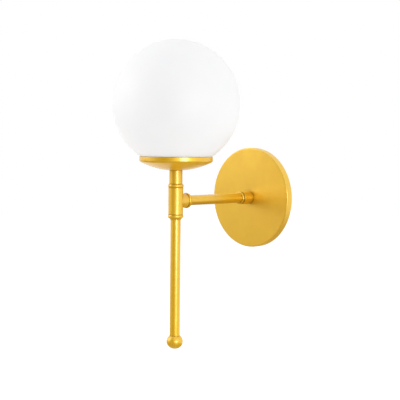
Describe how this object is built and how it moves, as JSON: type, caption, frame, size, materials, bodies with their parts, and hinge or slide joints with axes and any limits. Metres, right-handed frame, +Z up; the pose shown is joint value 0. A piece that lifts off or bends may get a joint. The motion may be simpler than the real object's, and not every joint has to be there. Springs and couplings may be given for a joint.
{
  "type": "globe wall sconce",
  "caption": "Wall sconce: opal glass globe in a shallow brass dish on a turned tee, straight arm from a round wall plate, and a hanging rod that ends in a ball.",
  "frame": {"origin": "on the wall plane, on the axis of the arm and of the round wall plate, midway between the two wall slots", "axes": "+Z up, +Y into the wall, so the light stands out along -Y; +X to the right when looking at the wall"},
  "size_m": [0.15, 0.213, 0.3651],
  "materials": {
    "satin_brass": "satin",
    "raw_brass": "machined",
    "zinc_steel": "zinc plated",
    "tinned_copper": "tinned",
    "green_screw": "gloss",
    "earth_insulation": "smooth",
    "live_insulation": "smooth",
    "neutral_insulation": "smooth",
    "connector_plastic": "moulded",
    "holder_plastic": "moulded",
    "white_ceramic": "glazed",
    "opal_glass": "opal, gloss",
    "bulb_glass": "clear",
    "nickel_cap": "nickel plated",
    "black_insulator": "vitreous",
    "filament": "phosphor"
  },
  "bodies": {
    "sconce": {"wall_bracket": "zinc_steel", "backplate": "satin_brass", "side_screws": "zinc_steel", "earth_screw": "green_screw", "nipple_tag": "tinned_copper", "screw_tag": "tinned_copper", "earth_lead": "earth_insulation", "plate_washer": "zinc_steel", "plate_nut": "raw_brass", "plate_nipple": "raw_brass", "wire_connector": "connector_plastic", "arm_coupling": "satin_brass", "coupling_ring": "satin_brass", "arm_tube": "satin_brass", "arm_nipple": "raw_brass", "arm_ring": "satin_brass", "neck_ring": "satin_brass", "rod_ring": "satin_brass", "tee_body": "satin_brass", "neck_sleeve": "satin_brass", "neck_nipple": "raw_brass", "rod_nipple": "raw_brass", "rod_tube": "satin_brass", "finial_nipple": "raw_brass", "ball_finial": "satin_brass", "dish": "satin_brass", "dish_nut": "raw_brass", "globe_springs": "zinc_steel", "holder_base": "holder_plastic", "holder_shell": "holder_plastic", "holder_core": "white_ceramic", "holder_terminals": "raw_brass", "terminal_screws": "zinc_steel", "screw_shell": "raw_brass", "centre_contact": "raw_brass", "live_wire": "live_insulation", "neutral_wire": "neutral_insulation"},
    "globe": {"opal_globe": "opal_glass"},
    "bulb_foot": {"bulb_tip": "nickel_cap"},
    "bulb": {"bulb_glass": "bulb_glass", "bulb_cap": "nickel_cap", "bulb_insulator": "black_insulator", "bulb_stem": "bulb_glass", "bulb_filaments": "filament", "bulb_supports": "nickel_cap"}
  },
  "joints": [
    {"name": "globe_lift", "type": "slide", "parent": "sconce", "child": "globe", "axis": [0, 0, 1], "range_m": [0, 0.12]},
    {"name": "bulb_rise", "type": "slide", "parent": "sconce", "child": "bulb_foot", "axis": [0, 0, 1], "range_m": [0, 0.0142]},
    {"name": "bulb_turn", "type": "hinge", "parent": "bulb_foot", "child": "bulb", "pos_m": [0, -0.138, 0.0997], "axis": [0, 0, 1], "range_deg": [0, 1800]}
  ],
  "couplings": [
    {"joint": "bulb_rise", "follows": "bulb_turn", "m_per_rad": 0.00044913}
  ]
}
